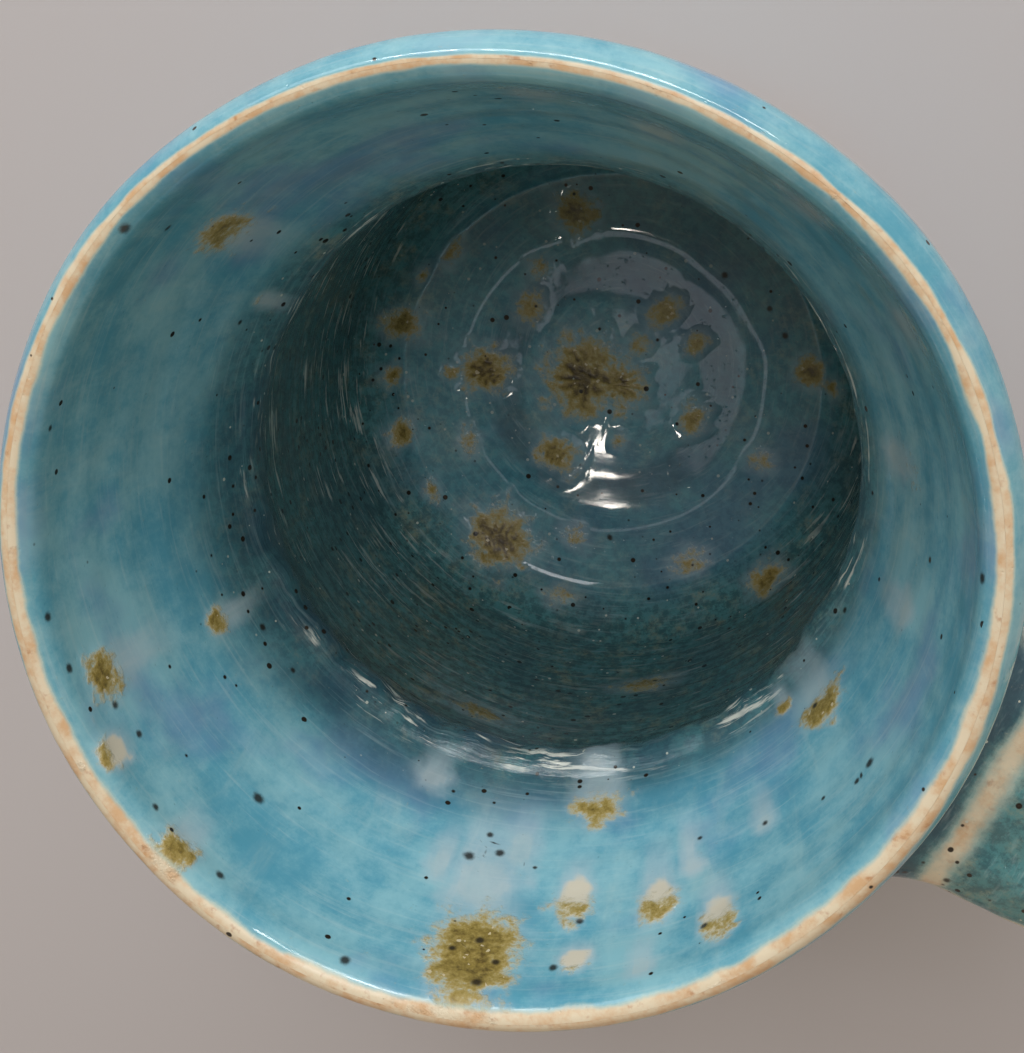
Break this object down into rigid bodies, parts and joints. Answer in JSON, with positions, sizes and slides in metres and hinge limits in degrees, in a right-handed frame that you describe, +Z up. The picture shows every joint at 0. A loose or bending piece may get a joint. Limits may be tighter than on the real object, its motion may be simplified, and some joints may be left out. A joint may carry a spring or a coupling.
{
  "type": "mug",
  "caption": "Hand-thrown stoneware mug with a flared mouth, a waist ridge inside, a pulled strap handle and a turquoise reactive glaze that breaks to buff on its edges.",
  "frame": {"origin": "middle of the flat foot, on the table", "axes": "+Z up the axis of the mug, +X out through the handle"},
  "size_m": [0.1295, 0.0946, 0.0919],
  "materials": {
    "clay_body": "bare buff stoneware, sponged smooth",
    "clay_handle": "pulled buff stoneware under the glaze",
    "clay_joint": "scored and slipped clay under the glaze",
    "liner_glaze": "glossy turquoise glaze with brown crystal blooms and dark specks",
    "outer_glaze": "glossy turquoise glaze, buff where it is thin on the lip",
    "handle_glaze": "glossy blue-green glaze, buff along the strap's edges"
  },
  "bodies": {
    "root": {"thrown_body": "clay_body", "strap_handle": "clay_handle", "upper_handle_joint": "clay_joint", "lower_handle_joint": "clay_joint", "liner_glaze": "liner_glaze", "outer_glaze": "outer_glaze", "handle_glaze": "handle_glaze"}
  },
  "joints": []
}
